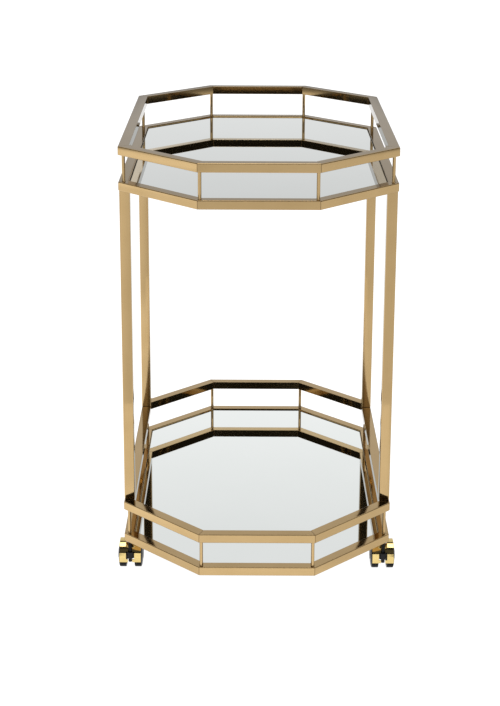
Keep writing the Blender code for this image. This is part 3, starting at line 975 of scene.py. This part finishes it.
def dark_flag(nodes, facing, climb, inner, outer, low, high):
    """How much a black flag hides. Facing is the cosine of the angle from the flag's heading."""
    edges = (math.cos(math.radians(outer)), math.cos(math.radians(inner)))
    across = nodes.spread(facing, *edges, 0.0, 1.0, smooth=True)
    above = nodes.spread(climb, *low, 0.0, 1.0, smooth=True)
    below = nodes.spread(climb, *high, 1.0, 0.0, smooth=True)
    return nodes.maths("MULTIPLY", across, nodes.maths("MULTIPLY", above, below))


def all_flags(nodes, direction):
    """How much the flags hide in a direction: three in front of the cart, and one at each side."""
    x, y, climb = nodes.split(direction)
    flat = nodes.add("ShaderNodeCombineXYZ")
    nodes.link(x, flat.inputs[0])
    nodes.link(y, flat.inputs[1])
    heading = nodes.add("ShaderNodeVectorMath", operation="NORMALIZE")
    nodes.link(flat.outputs[0], heading.inputs[0])
    level = nodes.split(heading.outputs[0])
    ahead = nodes.maths("MULTIPLY", level[1], -1.0)
    sideways = nodes.maths("ABSOLUTE", level[0])
    flags = dark_flag(nodes, sideways, climb, *SIDE_FLAG)
    for front_flag in (HIGH_FLAG, NARROW_FLAG, LOW_FLAG):
        flags = nodes.maths("MAXIMUM", flags, dark_flag(nodes, ahead, climb, *front_flag))
    darkness = nodes.spread(climb, *FLAG_DARKNESS_CLIMB, *FLAG_DARKNESS)
    return nodes.maths("MULTIPLY", flags, darkness)


def add_world():
    """A pale sky with black flags in it, which the camera sees as plain white."""
    world = bpy.data.worlds.new("studio")
    bpy.context.scene.world = world
    world.use_nodes = True
    nodes = Nodes(world.node_tree)
    world.node_tree.nodes.clear()
    direction = nodes.add("ShaderNodeTexCoord").outputs["Generated"]
    climb = nodes.split(direction)[2]
    left_open = nodes.maths("SUBTRACT", 1.0, all_flags(nodes, direction))
    lit = nodes.add("ShaderNodeBackground")
    nodes.link(nodes.greys(climb, SKY_STOPS), lit.inputs["Color"])
    nodes.link(left_open, lit.inputs["Strength"])
    seen = nodes.add("ShaderNodeBackground")
    seen.inputs["Color"].default_value = rgb(1.0, 1.0, 1.0)
    path = nodes.add("ShaderNodeLightPath")
    choice = nodes.add("ShaderNodeMixShader")
    nodes.link(path.outputs["Is Camera Ray"], choice.inputs["Fac"])
    nodes.link(lit.outputs[0], choice.inputs[1])
    nodes.link(seen.outputs[0], choice.inputs[2])
    out = nodes.add("ShaderNodeOutputWorld")
    nodes.link(choice.outputs[0], out.inputs["Surface"])


FLOOR_SIZE = 30.0
FLOOR_SEEN_GLOW = 1.02
FLOOR_GREY = (0.28, 0.30)
FLOOR_GRAIN = (0.99, 1.01)
FLOOR_REACH = (4.25, 4.8)
FLOOR_FAR_GLOW = 0.03
FLOOR_LIFT = (0.30, 0.08)
FLOOR_LIFT_SIDE = (0.20, 0.32)
FLOOR_LIFT_FRONT = (-1.15, -0.75)
# The painted glow from left to right, as (x, glow): painted light and painted shade that only the cart's
# reflections show. The lift is a further painted glow, which fades in front of the cart and is weaker at its
# right. Both end at the reach.
FLOOR_SIDE_STOPS = ((-4.0, 0.99), (-3.7, 0.99), (-3.45, 0.78), (-1.5, 0.78), (-0.9, 1.05), (-0.5, 0.97),
                    (-0.38, 0.84), (-0.30, 0.70), (-0.23, 0.70), (-0.2, 0.76))


def painted_floor_light(nodes, place):
    """How much painted light the floor glows with at a place, as the cart sees it."""
    x, y, _ = nodes.split(place)
    left_end, right_end = FLOOR_SIDE_STOPS[0][0], FLOOR_SIDE_STOPS[-1][0]
    stops = [((stop - left_end) / (right_end - left_end), glow) for stop, glow in FLOOR_SIDE_STOPS]
    from_left = nodes.greys(nodes.spread(x, left_end, right_end, 0.0, 1.0), stops)
    lift = nodes.spread(x, *FLOOR_LIFT_SIDE, *FLOOR_LIFT, smooth=True)
    past_front = nodes.spread(y, *FLOOR_LIFT_FRONT, 0.0, 1.0, smooth=True)
    near = nodes.spread(nodes.maths("ABSOLUTE", x), *FLOOR_REACH, 1.0, FLOOR_FAR_GLOW, smooth=True)
    lifted = nodes.maths("ADD", nodes.maths("MULTIPLY", lift, past_front), from_left)
    return nodes.maths("MULTIPLY", lifted, near)


def add_floor():
    """A pale seamless floor whose glow is painted light and shade, standing in for an overlit studio sweep.
    The camera sees it evenly white.
    """
    shape = bmesh.new()
    bmesh.ops.create_grid(shape, x_segments=1, y_segments=1, size=FLOOR_SIZE / 2)
    mesh = bpy.data.meshes.new("floor")
    shape.to_mesh(mesh)
    shape.free()
    material, shader, nodes = start_material("studio_floor", Roughness=0.9, Emission_Strength=1.0)
    place = plain_coordinates(nodes)
    grain = nodes.noise(place, 40.0)
    path = nodes.add("ShaderNodeLightPath")
    glow = nodes.add("ShaderNodeMix", data_type="FLOAT")
    nodes.link(path.outputs["Is Camera Ray"], glow.inputs["Factor"])
    nodes.link(painted_floor_light(nodes, place), glow.inputs["A"])
    glow.inputs["B"].default_value = FLOOR_SEEN_GLOW
    grained = nodes.maths("MULTIPLY", glow.outputs["Result"], nodes.spread(grain, 0.0, 1.0, *FLOOR_GRAIN))
    grey = nodes.spread(grain, 0.0, 1.0, *FLOOR_GREY)
    for strength, name in ((grey, "Base Color"), (grained, "Emission Color")):
        colour = nodes.add("ShaderNodeCombineColor")
        for socket in colour.inputs[:3]:
            nodes.link(strength, socket)
        nodes.link(colour.outputs[0], shader.inputs[name])
    mesh.materials.append(material)
    floor = bpy.data.objects.new("floor", mesh)
    bpy.context.scene.collection.objects.link(floor)


CARD_PLACE = (0.0, -0.62, 0.0925)
CARD_HALF_SIZE = (0.285, 0.0915)
CARD_GLOW = 1.25


def add_front_card():
    """A low white card close in front of the cart, which its gold reflects and the camera doesn't see."""
    shape = bmesh.new()
    half_width, half_height = CARD_HALF_SIZE
    shape.faces.new([shape.verts.new((x, 0, z)) for x, z in (
        (-half_width, -half_height), (half_width, -half_height), (half_width, half_height),
        (-half_width, half_height))])
    mesh = bpy.data.meshes.new("front_card")
    shape.to_mesh(mesh)
    shape.free()
    material, shader, nodes = start_material("lit_card", Base_Color=rgb(0.0, 0.0, 0.0), Roughness=0.9,
                                             Emission_Strength=CARD_GLOW)
    fibres = nodes.noise(plain_coordinates(nodes), 60.0)
    nodes.link(nodes.mix(fibres, rgb(0.99, 0.99, 0.99), rgb(1.0, 1.0, 1.0)),
               shader.inputs["Emission Color"])
    mesh.materials.append(material)
    card = bpy.data.objects.new("front_card", mesh)
    card.location = CARD_PLACE
    card.visible_camera = False
    bpy.context.scene.collection.objects.link(card)


SOFTBOX_PLACE = (0.0, -0.24, 3.2)
SOFTBOX_SIZE = (2.4, 1.97)
SOFTBOX_POWER = 44.0


def add_softbox():
    """A soft light over the cart that shines straight down."""
    data = bpy.data.lights.new("overhead_softbox", "AREA")
    data.shape = "RECTANGLE"
    data.size, data.size_y = SOFTBOX_SIZE
    data.energy = SOFTBOX_POWER
    light = bpy.data.objects.new("overhead_softbox", data)
    light.location = SOFTBOX_PLACE
    bpy.context.scene.collection.objects.link(light)


bpy.context.scene.view_settings.view_transform = "Standard"
bpy.context.scene.view_settings.look = "None"
add_camera()
add_world()
add_floor()
add_softbox()
add_front_card()

for tier in TIERS:
    tube_ring(tier + "_gallery_rail")
    tube_ring(tier + "_shelf_frame")
    mirror(tier)
    shelf_screws(tier)
    for number in range(1, SIDES + 1):
        gallery_post(tier, number)
    for node, material in ((tier + "_shelf_ledge", PLAIN_GOLD), (tier + "_backing_board", BOARD)):
        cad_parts[node].material_slots[0].material = material
for corner in CORNERS:
    leg(corner)
add_casters()
